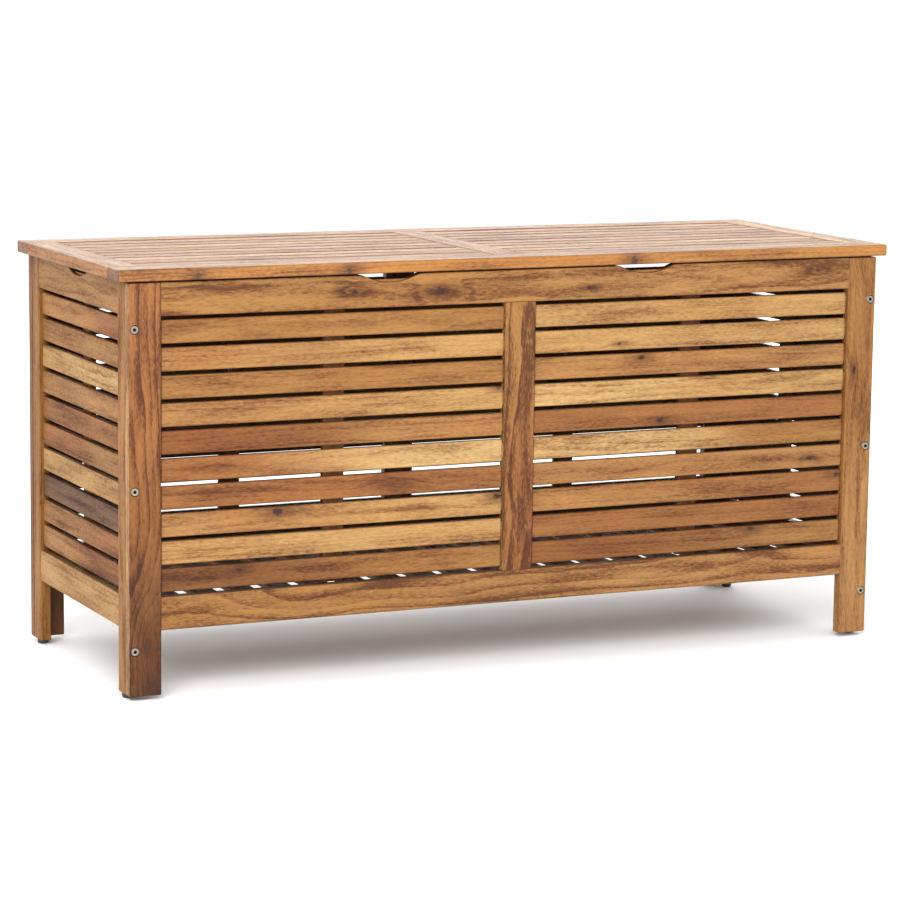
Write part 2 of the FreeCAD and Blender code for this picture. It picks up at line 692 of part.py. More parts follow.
def hinge_pin(label, wall):
    body = new_body(label)
    shank = new_sketch(body, "ShankCircle", "YZ_Plane")
    draw_circle(shank, "0", "0", "pin_diameter / 2")
    add_pad(body, "Shank", shank, "hinge_length + 2 * pin_head_height", symmetric=True)
    for tag, offset in (("Left", "-hinge_length / 2 - pin_head_height"),
                        ("Right", "hinge_length / 2")):
        head = new_sketch(body, tag + "HeadCircle", "YZ_Plane", offset)
        draw_circle(head, "0", "0", "pin_head / 2")
        add_pad(body, tag + "Head", head, "pin_head_height")
    place(body, wall)


def hinge_screw_points():
    """Where the hinge screws start and point, on the body and on the lid."""
    on_body = []
    on_lid = []
    back = size("hinge_axis_y")
    top = size("hinge_axis_z")
    reach = size("hinge_screw_reach")
    edge = size("knuckle_radius") - size("leaf_thick")
    for side in (-1, 1):
        for number in HINGE_SCREWS:
            x = side * size("hinge_place") + number * size("hinge_screw_pitch")
            on_body.append((Vector(x, back - edge, top - reach), Vector(0, -1, 0)))
            on_lid.append((Vector(x, back - reach, top + edge), Vector(0, 0, 1)))
    return on_body, on_lid


# ---- fasteners, each kind one group of separate solids ----------------------------------------

def pan_screw():
    """Pan-head wood screw along +z, its head's seat at z = 0."""
    head = Part.makeCylinder(size("screw_head") / 2, size("screw_head_height"),
                             Vector(0, 0, -size("screw_head_height")))
    rim = [edge for edge in head.Edges
           if edge.Closed and edge.CenterOfMass.z < -size("screw_head_height") / 2]
    head = head.makeFillet(size("screw_crown"), rim[:1])
    slot_width = size("screw_slot_width")
    slot_length = size("screw_slot_length")
    slot_depth = size("screw_slot_depth")
    for turned in (False, True):
        wide, deep = (slot_length, slot_width) if turned else (slot_width, slot_length)
        slot = Part.makeBox(wide, deep, slot_depth,
                            Vector(-wide / 2, -deep / 2, -size("screw_head_height")))
        head = head.cut(slot)
    return head


def with_shank(head, radius, length):
    shank = Part.makeCylinder(radius, length)
    return head.fuse(shank).removeSplitter()


def sunk_screw():
    """Countersunk hinge screw along +z, its flat head at z = 0."""
    big = size("hinge_screw_head") / 2
    small = size("hinge_screw") / 2
    head = Part.makeCone(big, small, big - small)
    screw = with_shank(head, small, size("hinge_screw_length"))
    wide = size("hinge_slot_width")
    slot = Part.makeBox(2 * big, wide, size("hinge_slot_depth"), Vector(-big, -wide / 2, 0))
    return screw.cut(slot)


def corner_bolt():
    """Hexagon-socket bolt along +z, its head's outer face at z = 0."""
    head = Part.makeCylinder(size("bolt_head") / 2, size("bolt_head_height"))
    rim = [edge for edge in head.Edges
           if edge.Closed and edge.CenterOfMass.z < size("bolt_head_height") / 2]
    head = head.makeChamfer(size("bolt_chamfer"), rim[:1])
    seat = size("board") - size("bore_depth")
    shank_length = size("bolt_head_height") + seat + size("nut_setback")
    shank_length += size("nut_diameter") / 2
    bolt = with_shank(head, size("bolt_diameter") / 2, shank_length)
    corner = size("bolt_socket") / math.sqrt(3)
    points = [Vector(corner * math.cos(math.radians(60 * turn)),
                     corner * math.sin(math.radians(60 * turn)), 0) for turn in range(7)]
    hexagon = Part.Face(Part.makePolygon(points))
    return bolt.cut(hexagon.extrude(Vector(0, 0, size("bolt_socket_depth"))))


def barrel_nut():
    """Barrel nut along +z with its cross hole for the bolt."""
    length = size("nut_length")
    nut = Part.makeCylinder(size("nut_diameter") / 2, length)
    cross = Part.makeCylinder(size("bolt_diameter") / 2 + size("pin_clear"),
                              size("nut_diameter") * 2,
                              Vector(-size("nut_diameter"), 0, length - size("board") / 2),
                              Vector(1, 0, 0))
    return nut.cut(cross)


def group(label, master, places):
    """One node of separate, equal solids; places are (point, rotation) pairs."""
    solids = []
    for point, rotation in places:
        copy = master.copy()
        copy.Placement = FreeCAD.Placement(point, rotation)
        solids.append(copy)
    feature = doc.addObject("Part::Feature", label)
    feature.Label = label
    feature.Shape = Part.makeCompound(solids)
    parts.append(feature)


def on_wall(wall, x, y, z, direction):
    """A fastener's point and rotation, pointing along a direction of the wall's frame."""
    point, turn = wall_point(wall, x, y, z)
    return point, FreeCAD.Rotation(UP, turn.multVec(direction))


def slat_heights(first, pitch, count):
    middle = size(first) + size("slat_width") / 2
    return [middle + number * size(pitch) for number in range(int(round(size(count))))]


def fasteners():
    """Corner bolts, barrel nuts and all the screws."""
    bolts = []
    nuts = []
    outward = Vector(0, -1, 0)
    inward = Vector(0, 1, 0)
    for height in (size("bolt_low"), size("bolt_middle"), size("bolt_high")):
        for wall in ("front", "rear"):
            for sign in (-1, 1):
                bolts.append(on_wall(wall, sign * size("bolt_place"), size("bore_sink"), height,
                                     inward))
        for wall in ("left_side", "right_side"):
            for sign in (-1, 1):
                point, turn = wall_point(wall, sign * (size("side_half") - size("nut_setback")),
                                         size("board") - size("nut_length"), height)
                spin = FreeCAD.Rotation(Vector(1, 0, 0), turn.multVec(Vector(1, 0, 0)))
                nuts.append((point, spin * FreeCAD.Rotation(Vector(1, 0, 0), -90)))
    group("corner_bolts", corner_bolt(), bolts)
    group("barrel_nuts", barrel_nut(), nuts)

    screw = with_shank(pan_screw(), size("screw_diameter") / 2,
                       size("batten_thick") + size("screw_bite"))
    wall_screws = []
    inner = size("slat_inner") + size("batten_thick")
    for height in slat_heights("wall_first", "wall_pitch", "wall_count"):
        for wall in ("front", "rear"):
            for sign in (-1, 1):
                wall_screws.append(on_wall(wall, sign * size("bay_centre"), inner, height,
                                           outward))
        for wall in ("left_side", "right_side"):
            wall_screws.append(on_wall(wall, 0, inner, height, outward))
    group("wall_screws", screw, wall_screws)

    floor_screw = with_shank(pan_screw(), size("screw_diameter") / 2,
                             size("slat_thick") + size("screw_bite"))
    floor_screws = []
    for number in range(int(round(size("floor_count")))):
        across = size("floor_first") + number * size("floor_pitch")
        for sign in (-1, 1):
            floor_screws.append(on_wall("box", across, sign * size("floor_screw_place"),
                                        size("floor_top"), Vector(0, 0, -1)))
    group("floor_screws", floor_screw, floor_screws)

    lid_screw = with_shank(pan_screw(), size("screw_diameter") / 2,
                           size("lid_batten_thick") + size("screw_bite"))
    under = size("lid_slat_inner") + size("lid_batten_thick")
    lid_screws = []
    for height in slat_heights("lid_first", "lid_pitch", "lid_count"):
        for sign in (-1, 1):
            lid_screws.append(on_wall("lid", sign * size("lid_bay_centre"), under, height,
                                      outward))
    group("lid_screws", lid_screw, lid_screws)

    on_body, on_lid = hinge_screw_points()
    for label, points in (("hinge_screws_body", on_body), ("hinge_screws_lid", on_lid)):
        group(label, sunk_screw(),
              [(point, FreeCAD.Rotation(UP, direction)) for point, direction in points])


def glide(label, wall, hand):
    """Round plastic glide under a side post."""
    body = new_body(label)
    disc = new_sketch(body, "Disc", "XY_Plane", "-glide_height")
    draw_circle(disc, signed(hand, "side_half - post_width / 2"), "board / 2",
                "glide_diameter / 2")
    pad = add_pad(body, "Puck", disc, "glide_height")
    low = -size("glide_height")
    add_fillet(body, "Rounding", pad,
               lambda edge: edge.Closed and abs(edge.CenterOfMass.z - low) < 0.01, "glide_round")
    place(body, wall)


def drill_hinge_holes(body, tag, role, offset, up, reverse):
    """Screw holes for both hinges in a rail, drawn in that rail's frame."""
    sketch = new_sketch(body, tag + "Circles", role, offset)
    for side in (-1, 1):
        for number in HINGE_SCREWS:
            across = "%d * hinge_place + %d * hinge_screw_pitch" % (side, number)
            draw_circle(sketch, across, up, "hinge_screw / 2 + screw_clear")
    add_pocket(body, tag + "Holes", sketch, "hinge_screw_length", reverse)


long_wall("front")
rear_top_rail = long_wall("rear")
drill_hinge_holes(rear_top_rail, "Hinge", "XZ_Plane", "-rail_recess",
                  "hinge_axis_z - glide_height - hinge_screw_reach", False)
short_wall("left_side")
short_wall("right_side")
floor_pieces()
lid_rear_rail = lid_pieces()
drill_hinge_holes(lid_rear_rail, "Hinge", "XZ_Plane", "-lid_board",
                  "hinge_axis_y + lid_depth / 2 - hinge_screw_reach", True)
place(lid_rear_rail, "lid")
for side in ("left", "right"):
    hinge_leaf("hinge_%s_body_leaf" % side, "hinge_" + side, False)
    hinge_leaf("hinge_%s_lid_leaf" % side, "hinge_" + side, True)
    hinge_pin("hinge_%s_pin" % side, "hinge_" + side)
glide("foot_front_left", "left_side", 1)
glide("foot_rear_left", "left_side", -1)
glide("foot_front_right", "right_side", -1)
glide("foot_rear_right", "right_side", 1)
fasteners()

doc.recompute()
for item in doc.Objects:
    faults = [state for state in item.State if state in ("Invalid", "Error")]
    if faults:
        raise RuntimeError("%s (%s) is %s" % (item.Label, item.Name, faults))
for piece in parts:
    if piece.Shape.isNull() or not piece.Shape.isValid():
        raise RuntimeError("%s has no valid shape" % piece.Label)

os.makedirs("parts", exist_ok=True)
for piece in parts:
    piece.Shape.exportStep(os.path.join("parts", piece.Label + ".step"))
print("%d parts, %d solids" % (len(parts), sum(len(piece.Shape.Solids) for piece in parts)))
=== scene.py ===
import math
import bmesh
import bpy
from mathutils import Euler, Matrix, Vector


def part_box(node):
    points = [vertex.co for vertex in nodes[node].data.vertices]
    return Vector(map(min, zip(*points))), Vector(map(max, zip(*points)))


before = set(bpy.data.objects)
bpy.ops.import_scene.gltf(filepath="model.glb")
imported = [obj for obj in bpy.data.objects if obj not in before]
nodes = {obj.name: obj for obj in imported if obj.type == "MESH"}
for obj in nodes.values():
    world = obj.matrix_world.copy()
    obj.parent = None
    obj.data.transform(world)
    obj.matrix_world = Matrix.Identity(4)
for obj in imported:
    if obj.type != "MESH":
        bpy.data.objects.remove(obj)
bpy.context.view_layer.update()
print("frame loaded:", len(nodes), "nodes")


def feed(tree, socket, value):
    # a socket takes a link, a plain number or a vector
    if isinstance(value, bpy.types.NodeSocket):
        tree.links.new(value, socket)
    else:
        socket.default_value = value


def calc(tree, operation, *values, clamp=False):
    node = tree.nodes.new("ShaderNodeMath")
    node.operation = operation
    node.use_clamp = clamp
    for socket, value in zip(node.inputs, values):
        feed(tree, socket, value)
    return node.outputs[0]


def vectorCalc(tree, operation, first, second):
    node = tree.nodes.new("ShaderNodeVectorMath")
    node.operation = operation
    feed(tree, node.inputs[0], first)
    feed(tree, node.inputs[1], second)
    return node.outputs["Value"] if operation in ("LENGTH", "DOT_PRODUCT") else node.outputs["Vector"]


def spread(tree, value, low, high, toLow=0.0, toHigh=1.0, smooth=True):
    # low..high of the value becomes toLow..toHigh, held at both ends
    node = tree.nodes.new("ShaderNodeMapRange")
    node.interpolation_type = "SMOOTHSTEP" if smooth else "LINEAR"
    for name, number in (("From Min", low), ("From Max", high), ("To Min", toLow), ("To Max", toHigh)):
        feed(tree, node.inputs[name], number)
    feed(tree, node.inputs["Value"], value)
    return node.outputs["Result"]


def cloud(tree, point, scale, detail=2.0, roughness=0.5):
    node = tree.nodes.new("ShaderNodeTexNoise")
    feed(tree, node.inputs["Vector"], point)
    node.inputs["Scale"].default_value = scale
    node.inputs["Detail"].default_value = detail
    node.inputs["Roughness"].default_value = roughness
    return node.outputs["Fac"]


def blendColour(tree, amount, first, second, kind="MIX"):
    node = tree.nodes.new("ShaderNodeMix")
    node.data_type = "RGBA"
    node.blend_type = kind
    feed(tree, node.inputs["Factor"], amount)
    feed(tree, node.inputs[6], first)
    feed(tree, node.inputs[7], second)
    return node.outputs[2]


def colourRamp(tree, value, stops, steps=False):
    node = tree.nodes.new("ShaderNodeValToRGB")
    ramp = node.color_ramp
    ramp.interpolation = "CONSTANT" if steps else "LINEAR"
    while len(ramp.elements) > 1:
        ramp.elements.remove(ramp.elements[-1])
    for number, (place, colour) in enumerate(stops):
        stop = ramp.elements[0] if number == 0 else ramp.elements.new(place)
        stop.position = place
        stop.color = (*colour, 1.0)
    feed(tree, node.inputs["Fac"], value)
    return node.outputs["Color"]


def stretched(tree, point, scale):
    # the same point on stretched axes: along the board, across it, through it
    return vectorCalc(tree, "MULTIPLY", point, scale)


def startGroup(name, inputs, outputs):
    tree = bpy.data.node_groups.new(name, "ShaderNodeTree")
    kinds = {"value": "NodeSocketFloat", "vector": "NodeSocketVector", "colour": "NodeSocketColor"}
    for label, kind in inputs:
        tree.interface.new_socket(name=label, in_out="INPUT", socket_type=kinds[kind])
    for label, kind in outputs:
        tree.interface.new_socket(name=label, in_out="OUTPUT", socket_type=kinds[kind])
    return tree, tree.nodes.new("NodeGroupInput").outputs, tree.nodes.new("NodeGroupOutput").inputs


def useGroup(tree, group, **values):
    # keyword names stand for the group's input names, first letter in lower case
    node = tree.nodes.new("ShaderNodeGroup")
    node.node_tree = group
    for name, value in values.items():
        feed(tree, node.inputs[name[0].upper() + name[1:]], value)
    return node.outputs


# hardwood tones, in the display's own red, green and blue, 0 to 255
woodTones = {
    "sapwood": (220, 178, 118),
    "straw": (204, 157, 97),
    "honey": (188, 135, 79),
    "ginger": (202, 136, 60),
    "amber": (176, 124, 67),
    "copper": (168, 109, 58),
    "russet": (153, 95, 45),
    "walnut": (138, 86, 41),
    "umber": (122, 84, 54),
}
toneStrength = 0.50        # how much of each tone the paint-free wood gives back


def linear(tone):
    # display values to the linear light that the shader wants
    shares = [part / 255 for part in tone]
    return tuple(toneStrength * (share / 12.92 if share < 0.04 else ((share + 0.055) / 1.055) ** 2.4)
                 for share in shares)


def makeKnotGroup():
    # one knot on the board's wide face: a ragged dark eye, brown smoke drawn out along the grain, and
    # figure pushed aside round it; eye and smoke have strengths of their own, so one can be smoke alone
    tree, given, out = startGroup(
        "knot",
        [("Point", "vector"), ("Along", "value"), ("Across", "value"), ("Deep", "value"), ("Size", "value"),
         ("EyeStrength", "value"), ("SmokeStrength", "value")],
        [("Eye", "value"), ("Smoke", "value"), ("Push", "value")])
    split = tree.nodes.new("ShaderNodeSeparateXYZ")
    feed(tree, split.inputs[0], given["Point"])
    along = calc(tree, "DIVIDE", calc(tree, "SUBTRACT", split.outputs[0], given["Along"]), given["Size"])
    across = calc(tree, "DIVIDE", calc(tree, "SUBTRACT", split.outputs[1], given["Across"]), given["Size"])
    deep = calc(tree, "DIVIDE", calc(tree, "SUBTRACT", split.outputs[2], given["Deep"]), given["Size"])
    deep = calc(tree, "MULTIPLY", deep, 0.5)
    squared = calc(tree, "ADD", calc(tree, "MULTIPLY", across, across), calc(tree, "MULTIPLY", deep, deep))

    def ovalDistance(flattening):
        flat = calc(tree, "MULTIPLY", along, flattening)
        return calc(tree, "SQRT", calc(tree, "ADD", calc(tree, "MULTIPLY", flat, flat), squared))

    ragged = cloud(tree, stretched(tree, given["Point"], (150.0, 330.0, 330.0)), 1.0, 2.0)
    ragged = calc(tree, "SUBTRACT", ragged, 0.5)
    wispy = cloud(tree, stretched(tree, given["Point"], (40.0, 190.0, 190.0)), 1.0, 2.0)
    wispy = calc(tree, "SUBTRACT", wispy, 0.5)
    eyeReach = calc(tree, "ADD", ovalDistance(0.66), calc(tree, "MULTIPLY", ragged, 1.9))
    eye = spread(tree, eyeReach, 1.15, 0.45)
    smokeReach = calc(tree, "ADD", ovalDistance(0.30), calc(tree, "MULTIPLY", wispy, 2.4))
    smoke = spread(tree, smokeReach, 3.1, 0.5)
    push = spread(tree, ovalDistance(0.34), 4.0, 0.0)
    feed(tree, out["Eye"], calc(tree, "MULTIPLY", eye, given["EyeStrength"]))
    feed(tree, out["Smoke"], calc(tree, "MULTIPLY", smoke, given["SmokeStrength"]))
    feed(tree, out["Push"], calc(tree, "MULTIPLY", push, calc(tree, "MULTIPLY", given["Size"], 1.1)))
    return tree


def makeFigureGroup():
    # growth rings round a pith outside the board, drawn out into long figure, with streaks and pores
    tree, given, out = startGroup(
        "figure",
        [("Point", "vector"), ("Shift", "vector"), ("Push", "value"), ("Ring", "value"), ("Sweep", "value"),
         ("Bands", "value")],
        [("Figure", "value"), ("Rings", "value"), ("Pores", "value"), ("Drift", "value")])
    moved = vectorCalc(tree, "ADD", given["Point"], given["Shift"])
    shift = tree.nodes.new("ShaderNodeSeparateXYZ")
    feed(tree, shift.inputs[0], given["Shift"])
    place = tree.nodes.new("ShaderNodeSeparateXYZ")
    feed(tree, place.inputs[0], given["Point"])
    # the pith lies to one side of the board and behind it, somewhere else for every board
    aside = calc(tree, "MULTIPLY", calc(tree, "SUBTRACT", calc(tree, "FRACT", shift.outputs[1]), 0.5), 0.10)
    behind = calc(tree, "ADD", calc(tree, "MULTIPLY", calc(tree, "FRACT", shift.outputs[2]), 0.07), 0.018)
    bow = cloud(tree, stretched(tree, moved, (1.6, 5.0, 5.0)), 1.0, 2.0)
    ripple = cloud(tree, stretched(tree, moved, (9.0, 60.0, 60.0)), 1.0, 2.0)
    across = calc(tree, "SUBTRACT", place.outputs[1], aside)
    depth = calc(tree, "ADD", place.outputs[2], behind)
    squares = calc(tree, "ADD", calc(tree, "MULTIPLY", across, across),
                   calc(tree, "MULTIPLY", depth, depth))
    radius = calc(tree, "SQRT", squares)
    bowed = calc(tree, "MULTIPLY", calc(tree, "SUBTRACT", bow, 0.5), given["Sweep"])
    radius = calc(tree, "ADD", radius, bowed)
    radius = calc(tree, "ADD", radius, calc(tree, "MULTIPLY", calc(tree, "SUBTRACT", ripple, 0.5), 0.006))
    radius = calc(tree, "ADD", radius, given["Push"])
    turns = calc(tree, "DIVIDE", radius, given["Ring"])
    part = calc(tree, "FRACT", turns)
    late = calc(tree, "MULTIPLY", calc(tree, "POWER", part, 1.8), spread(tree, part, 1.0, 0.86))
    ringNoise = tree.nodes.new("ShaderNodeTexWhiteNoise")
    ringNoise.noise_dimensions = "1D"
    feed(tree, ringNoise.inputs["W"], calc(tree, "FLOOR", turns))
    bold = calc(tree, "ADD", calc(tree, "MULTIPLY", ringNoise.outputs["Value"], 0.9), 0.25)
    rings = calc(tree, "MULTIPLY", late, bold)
    # long streaks follow the rings a little, so they bend round knots
    streakPoint = tree.nodes.new("ShaderNodeCombineXYZ")
    feed(tree, streakPoint.inputs[0], calc(tree, "MULTIPLY", place.outputs[0], 5.0))
    feed(tree, streakPoint.inputs[1], calc(tree, "MULTIPLY", radius, 150.0))
    sideways = calc(tree, "ADD", shift.outputs[0], place.outputs[1])
    feed(tree, streakPoint.inputs[2], calc(tree, "MULTIPLY", sideways, 25.0))
    streak = cloud(tree, streakPoint.outputs[0], 1.0, 4.0, 0.62)
    # soft flames a hand long, then short flecks of fibre, then the open pores
    flame = cloud(tree, stretched(tree, moved, (7.0, 52.0, 40.0)), 1.0, 2.0)
    fleck = cloud(tree, stretched(tree, moved, (105.0, 470.0, 470.0)), 1.0, 3.0, 0.7)
    pores = spread(tree, cloud(tree, stretched(tree, moved, (95.0, 900.0, 900.0)), 1.0, 1.0), 0.54, 0.68)
    drift = cloud(tree, stretched(tree, moved, (3.2, 12.0, 12.0)), 1.0, 1.0)
    figure = calc(tree, "MULTIPLY", rings, given["Bands"])
    for part, weight in ((streak, 0.30), (flame, 0.85), (fleck, 0.85)):
        figure = calc(tree, "ADD", figure, calc(tree, "MULTIPLY", part, weight))
    feed(tree, out["Figure"], spread(tree, figure, 0.83, 1.36, smooth=False))
    feed(tree, out["Rings"], rings)
    feed(tree, out["Pores"], pores)
    feed(tree, out["Drift"], drift)
    return tree


def makeColourGroup():
    # the board's own tone, lighter and darker by its figure, with pores, knots and end grain, plus painted
    # shade on the arrises and on faces turned inwards
    tree, given, out = startGroup(
        "woodColour",
        [("Tone", "colour"), ("Figure", "value"), ("Pores", "value"), ("Eye", "value"), ("Smoke", "value"),
         ("Arris", "value"), ("End", "value"), ("Inner", "value"), ("Drift", "value")],
        [("Colour", "colour")])
    shade = colourRamp(tree, given["Figure"], [
        (0.00, (1.34, 1.38, 1.32)),
        (0.26, (1.16, 1.17, 1.14)),
        (0.50, (0.98, 0.94, 0.89)),
        (0.74, (0.70, 0.58, 0.49)),
        (1.00, (0.40, 0.28, 0.21))])
    colour = blendColour(tree, 1.0, given["Tone"], shade, "MULTIPLY")
    warm = spread(tree, given["Drift"], 0.35, 0.68)
    colour = blendColour(tree, calc(tree, "MULTIPLY", warm, 0.55), colour,
                         blendColour(tree, 1.0, colour, (1.0, 0.88, 0.76, 1.0), "MULTIPLY"))
    colour = blendColour(tree, calc(tree, "MULTIPLY", given["Pores"], 0.28), colour,
                         blendColour(tree, 1.0, colour, (0.42, 0.32, 0.24, 1.0), "MULTIPLY"))
    colour = blendColour(tree, calc(tree, "MULTIPLY", given["Smoke"], 0.75), colour,
                         blendColour(tree, 1.0, colour, (0.34, 0.22, 0.13, 1.0), "MULTIPLY"))
    colour = blendColour(tree, given["Eye"], colour, (0.030, 0.012, 0.006, 1.0))
    # painted shade along the arrises
    colour = blendColour(tree, calc(tree, "MULTIPLY", given["Arris"], 0.35), colour,
                         blendColour(tree, 1.0, colour, (0.60, 0.50, 0.42, 1.0), "MULTIPLY"))
    colour = blendColour(tree, calc(tree, "MULTIPLY", given["End"], 0.75), colour,
                         blendColour(tree, 1.0, colour, (0.50, 0.40, 0.33, 1.0), "MULTIPLY"))
    # painted shade: faces turned to the inside of the box are darkened
    colour = blendColour(tree, given["Inner"], colour,
                         blendColour(tree, 1.0, colour, (0.46, 0.40, 0.36, 1.0), "MULTIPLY"))
    feed(tree, out["Colour"], colour)
    return tree


knotGroup = makeKnotGroup()
figureGroup = makeFigureGroup()
colourGroup = makeColourGroup()
print("wood effects ready")


axisLetters = {"x": 0, "y": 1, "z": 2}
slatWidth = 0.035
arrisShadeReach = 0.0035         # how far the painted shade on the arrises reaches in from the edges
middleFigure = 0.40        # the figure value that leaves a tone nearly as it is


def bankPitch(node, across, count):
    # first line between slats, and the pitch from slat to slat
    low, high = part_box(node)
    pitch = (high[across] - low[across] - slatWidth) / (count - 1)
    return low[across] - (pitch - slatWidth) / 2, pitch


def hardwood(node, board):
    # board: grain, across and depth axes, seed, a pair of end tones for each slat, and where wanted the
    # count of a bank, knots (along, across, size, eye, smoke, depth), ring, sweep, bands, bold and edge
    material = bpy.data.materials.new("hardwood_" + node)
    material.use_nodes = True
    tree = material.node_tree
    shader = tree.nodes["Principled BSDF"]
    low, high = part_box(node)
    along, across, depth = (axisLetters[letter] for letter in board["axes"])
    place = tree.nodes.new("ShaderNodeTexCoord")
    split = tree.nodes.new("ShaderNodeSeparateXYZ")
    feed(tree, split.inputs[0], place.outputs["Object"])
    point = tree.nodes.new("ShaderNodeCombineXYZ")
    feed(tree, point.inputs[0], split.outputs[along])
    feed(tree, point.inputs[1], split.outputs[across])
    feed(tree, point.inputs[2], split.outputs[depth])
    count = board.get("count", 1)
    middle = (low[across] + high[across]) / 2
    if count > 1:
        first, pitch = bankPitch(node, across, count)
        fromFirst = calc(tree, "SUBTRACT", split.outputs[across], first)
        slat = calc(tree, "FLOOR", calc(tree, "DIVIDE", fromFirst, pitch))
        centre = calc(tree, "ADD", calc(tree, "MULTIPLY", slat, pitch), first + pitch / 2)
        localAcross = calc(tree, "SUBTRACT", split.outputs[across], centre)
        halfWidth = slatWidth / 2
    else:
        slat = 0.0
        localAcross = calc(tree, "SUBTRACT", split.outputs[across], middle)
        halfWidth = (high[across] - low[across]) / 2
    # every slat is cut from somewhere else in the log
    seed = tree.nodes.new("ShaderNodeTexWhiteNoise")
    seed.noise_dimensions = "2D"
    seedPoint = tree.nodes.new("ShaderNodeCombineXYZ")
    feed(tree, seedPoint.inputs[0], slat)
    seedPoint.inputs[1].default_value = board["seed"]
    feed(tree, seed.inputs["Vector"], seedPoint.outputs[0])
    shift = vectorCalc(tree, "MULTIPLY", seed.outputs["Color"], (17.0, 11.0, 7.0))
    local = tree.nodes.new("ShaderNodeCombineXYZ")
    feed(tree, local.inputs[0], split.outputs[along])
    feed(tree, local.inputs[1], localAcross)
    feed(tree, local.inputs[2], calc(tree, "SUBTRACT", split.outputs[depth], low[depth]))
    eye, smoke, push = 0.0, 0.0, 0.0
    outerFace = low[depth] if board["inside"] == "+" else high[depth]
    for knotAlong, knotAcross, size, eyeStrength, smokeStrength, *knotDeep in board.get("knots", []):
        knot = useGroup(tree, knotGroup, point=point.outputs[0], along=knotAlong, across=knotAcross,
                        deep=knotDeep[0] if knotDeep else outerFace, size=size,
                        eyeStrength=eyeStrength, smokeStrength=smokeStrength)
        eye = calc(tree, "MAXIMUM", eye, knot["Eye"])
        smoke = calc(tree, "MAXIMUM", smoke, knot["Smoke"])
        push = calc(tree, "ADD", push, knot["Push"])
    figure = useGroup(tree, figureGroup, point=local.outputs[0], shift=shift, push=push,
                      ring=board.get("ring", 0.0052), sweep=board.get("sweep", 0.030),
                      bands=board.get("bands", 0.20))
    # a bold board shows more of its figure on both sides of the middle shade
    bold = board.get("bold", 1.0)
    shown = spread(tree, figure["Figure"], middleFigure * (1 - 1 / bold),
                   middleFigure + (1 - middleFigure) / bold, smooth=False)
    # tones: each slat has one at each end of its length, and they meet unevenly
    tones = board["tones"]
    starts = [linear(woodTones[pair[0]]) for pair in tones]
    ends = [linear(woodTones[pair[1]]) for pair in tones]
    if count > 1:
        number = calc(tree, "DIVIDE", calc(tree, "ADD", slat, 0.5), float(count))
        stops = [step / count for step in range(count)]
        startTone = colourRamp(tree, number, list(zip(stops, starts)), steps=True)
        endTone = colourRamp(tree, number, list(zip(stops, ends)), steps=True)
    else:
        startTone, endTone = (*starts[0], 1.0), (*ends[0], 1.0)
    reach = spread(tree, split.outputs[along], low[along], high[along], smooth=False)
    wander = calc(tree, "MULTIPLY", calc(tree, "SUBTRACT", figure["Drift"], 0.5), 0.7)
    uneven = calc(tree, "ADD", reach, wander)
    tone = blendColour(tree, spread(tree, uneven, 0.25, 0.75), startTone, endTone)
    halfDepth = (high[depth] - low[depth]) / 2
    localDepth = calc(tree, "SUBTRACT", split.outputs[depth], (high[depth] + low[depth]) / 2)
    # mask for the painted shade along the arrises
    arris = calc(tree, "MULTIPLY",
                 spread(tree, calc(tree, "ABSOLUTE", localAcross), halfWidth - arrisShadeReach, halfWidth),
                 spread(tree, calc(tree, "ABSOLUTE", localDepth), halfDepth - arrisShadeReach, halfDepth))
    facing = tree.nodes.new("ShaderNodeSeparateXYZ")
    feed(tree, facing.inputs[0], place.outputs["Normal"])
    end = spread(tree, calc(tree, "ABSOLUTE", facing.outputs[along]), 0.6, 0.9)
    # painted shade: faces turned inwards, and the narrow edges along the gaps, are darkened
    turned = calc(tree, "MULTIPLY", facing.outputs[depth], 1.0 if board["inside"] == "+" else -1.0)
    inner = spread(tree, turned, board["bareFrom"], board["bareFrom"] + 0.9)
    edge = spread(tree, calc(tree, "ABSOLUTE", facing.outputs[across]), 0.70, 0.98)
    if board["bareEdges"]:
        inner = calc(tree, "MAXIMUM", inner, edge)
    if "edge" in board:
        tone = blendColour(tree, edge, tone, (*linear(woodTones[board["edge"]]), 1.0))
    colour = useGroup(tree, colourGroup, tone=tone, figure=shown, pores=figure["Pores"],
                      eye=eye, smoke=smoke, arris=arris, end=end, inner=inner,
                      drift=figure["Drift"])["Colour"]
    feed(tree, shader.inputs["Base Color"], colour)
    rough = spread(tree, figure["Figure"], 0.0, 1.0, 0.44, 0.58, smooth=False)
    feed(tree, shader.inputs["Roughness"],
         calc(tree, "ADD", rough, calc(tree, "MULTIPLY", figure["Pores"], 0.2)))
    shader.inputs["Specular IOR Level"].default_value = board["sheen"]
    height = calc(tree, "SUBTRACT", calc(tree, "MULTIPLY", figure["Rings"], -0.5), figure["Pores"])
    bump = tree.nodes.new("ShaderNodeBump")
    bump.inputs["Strength"].default_value = 0.5
    bump.inputs["Distance"].default_value = 0.0004
    feed(tree, bump.inputs["Height"], height)
    feed(tree, shader.inputs["Normal"], bump.outputs["Normal"])
    return material


def even(*names):
    # one tone for the whole length of each slat
    return [(name, name) for name in names]


